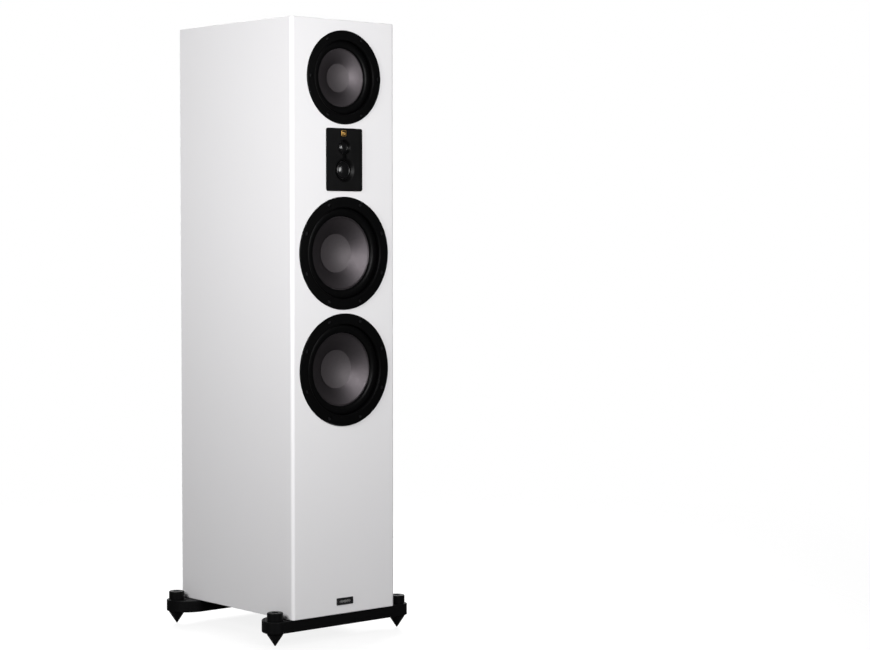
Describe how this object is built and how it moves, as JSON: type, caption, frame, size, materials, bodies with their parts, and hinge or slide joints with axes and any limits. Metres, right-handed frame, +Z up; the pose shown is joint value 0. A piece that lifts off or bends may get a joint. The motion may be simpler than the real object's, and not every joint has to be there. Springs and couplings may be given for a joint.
{
  "type": "floorstanding loudspeaker",
  "caption": "Tall slim floorstanding loudspeaker with exposed cone drivers, a twin-dome tweeter plate, a rear reflex port and terminals, on outrigger bars with adjustable spikes.",
  "frame": {"origin": "on the floor under the spike tips, at the middle of the footprint", "axes": "+Z up; the drivers face -Y; +X is the listener's right"},
  "size_m": [0.353, 0.3858, 1.227],
  "materials": {
    "lacquer": "satin white lacquer over dense fibreboard",
    "bare_board": "bare fibreboard",
    "foam": "open-cell acoustic foam",
    "circuit_board": "matt resin board",
    "copper": "enamelled copper wire",
    "film_capacitor": "gloss wrapped film",
    "white_ceramic": "matt ceramic",
    "port_plastic": "matt moulded",
    "cup_plastic": "matt moulded",
    "plated_brass": "gold plated",
    "red_plastic": "gloss",
    "black_plastic": "gloss",
    "black_screw": "black oxide",
    "ring_black": "black anodised, satin",
    "basket_black": "powder coated casting",
    "ferrite": "matt ferrite",
    "motor_steel": "zinc plated",
    "cone_grey": "grey anodised, satin",
    "surround_rubber": "matt",
    "spider_cloth": "resin treated cloth",
    "tweeter_black": "satin black, painted",
    "dome_cloth": "coated cloth",
    "name_black": "gloss",
    "outrigger_black": "fine black powder coat",
    "sleeve_black": "satin black",
    "spike_steel": "black nickel",
    "cable": "matt sleeve"
  },
  "bodies": {
    "speaker": {"front_baffle": "lacquer", "side_panel_left": "lacquer", "side_panel_right": "lacquer", "top_panel": "lacquer", "bottom_panel": "lacquer", "rear_panel": "lacquer", "inner_braces": "bare_board", "acoustic_foam": "foam", "crossover_board": "circuit_board", "crossover_inductors": "copper", "crossover_capacitors": "film_capacitor", "crossover_resistors": "white_ceramic", "wiring_loom": "cable", "port_tube": "port_plastic", "terminal_cup": "cup_plastic", "binding_studs": "plated_brass", "terminal_screws": "black_screw", "driver_screws": "black_screw", "woofer_baskets": "basket_black", "woofer_magnets": "ferrite", "woofer_motor_steel": "motor_steel", "midrange_basket": "basket_black", "midrange_magnet": "ferrite", "midrange_motor_steel": "motor_steel", "tweeter_plate": "tweeter_black", "tweeter_motors": "motor_steel", "tweeter_emblem": "plated_brass", "nameplate": "name_black", "outrigger_front": "outrigger_black", "outrigger_rear": "outrigger_black", "outrigger_bolts": "black_screw", "spike_sleeves": "sleeve_black", "woofer_upper_trim_ring": "ring_black", "woofer_upper_surround": "surround_rubber", "woofer_upper_spider": "spider_cloth", "woofer_lower_trim_ring": "ring_black", "woofer_lower_surround": "surround_rubber", "woofer_lower_spider": "spider_cloth", "midrange_trim_ring": "ring_black", "midrange_surround": "surround_rubber", "midrange_spider": "spider_cloth"},
    "woofer_upper_diaphragm": {"woofer_upper_cone": "cone_grey", "woofer_upper_dust_cap": "cone_grey", "woofer_upper_voice_coil": "copper"},
    "woofer_lower_diaphragm": {"woofer_lower_cone": "cone_grey", "woofer_lower_dust_cap": "cone_grey", "woofer_lower_voice_coil": "copper"},
    "midrange_diaphragm": {"midrange_cone": "cone_grey", "midrange_dust_cap": "cone_grey", "midrange_voice_coil": "copper"},
    "tweeter_diaphragm": {"tweeter_dome": "dome_cloth"},
    "super_tweeter_diaphragm": {"super_tweeter_dome": "dome_cloth"},
    "washer_black": {"post_washer_black": "plated_brass"},
    "cap_black": {"post_cap_black": "black_plastic"},
    "washer_red": {"post_washer_red": "plated_brass"},
    "cap_red": {"post_cap_red": "red_plastic"},
    "spike_front_left": {"spike_front_left": "spike_steel"},
    "spike_front_right": {"spike_front_right": "spike_steel"},
    "spike_rear_left": {"spike_rear_left": "spike_steel"},
    "spike_rear_right": {"spike_rear_right": "spike_steel"}
  },
  "joints": [
    {"name": "woofer_upper_stroke", "type": "slide", "parent": "speaker", "child": "woofer_upper_diaphragm", "axis": [0, -1, 0], "range_m": [-0.006, 0.006], "stiffness_N_per_m": 900, "deforming": ["woofer_upper_surround", "woofer_upper_spider"]},
    {"name": "woofer_lower_stroke", "type": "slide", "parent": "speaker", "child": "woofer_lower_diaphragm", "axis": [0, -1, 0], "range_m": [-0.006, 0.006], "stiffness_N_per_m": 900, "deforming": ["woofer_lower_surround", "woofer_lower_spider"]},
    {"name": "midrange_stroke", "type": "slide", "parent": "speaker", "child": "midrange_diaphragm", "axis": [0, -1, 0], "range_m": [-0.003, 0.003], "stiffness_N_per_m": 1500, "deforming": ["midrange_surround", "midrange_spider"]},
    {"name": "tweeter_stroke", "type": "slide", "parent": "speaker", "child": "tweeter_diaphragm", "axis": [0, -1, 0], "range_m": [-0.0004, 0.0004], "stiffness_N_per_m": 600},
    {"name": "super_tweeter_stroke", "type": "slide", "parent": "speaker", "child": "super_tweeter_diaphragm", "axis": [0, -1, 0], "range_m": [-0.0004, 0.0004], "stiffness_N_per_m": 600},
    {"name": "clamp_slide_black", "type": "slide", "parent": "speaker", "child": "washer_black", "axis": [0, 1, 0], "range_m": [0, 0.006]},
    {"name": "cap_turn_black", "type": "hinge", "parent": "washer_black", "child": "cap_black", "pos_m": [0.019, 0.175, 0.15], "axis": [0, 1, 0], "range_deg": [0, 2160]},
    {"name": "clamp_slide_red", "type": "slide", "parent": "speaker", "child": "washer_red", "axis": [0, 1, 0], "range_m": [0, 0.006]},
    {"name": "cap_turn_red", "type": "hinge", "parent": "washer_red", "child": "cap_red", "pos_m": [-0.019, 0.175, 0.15], "axis": [0, 1, 0], "range_deg": [0, 2160]},
    {"name": "spike_front_left_height", "type": "slide", "parent": "speaker", "child": "spike_front_left", "axis": [0, 0, -1], "range_m": [0, 0.01]},
    {"name": "spike_front_right_height", "type": "slide", "parent": "speaker", "child": "spike_front_right", "axis": [0, 0, -1], "range_m": [0, 0.01]},
    {"name": "spike_rear_left_height", "type": "slide", "parent": "speaker", "child": "spike_rear_left", "axis": [0, 0, -1], "range_m": [0, 0.01]},
    {"name": "spike_rear_right_height", "type": "slide", "parent": "speaker", "child": "spike_rear_right", "axis": [0, 0, -1], "range_m": [0, 0.01]}
  ],
  "couplings": [
    {"joint": "cap_turn_black", "follows": "clamp_slide_black", "rad_per_m": 6283.2},
    {"joint": "cap_turn_red", "follows": "clamp_slide_red", "rad_per_m": 6283.2}
  ]
}
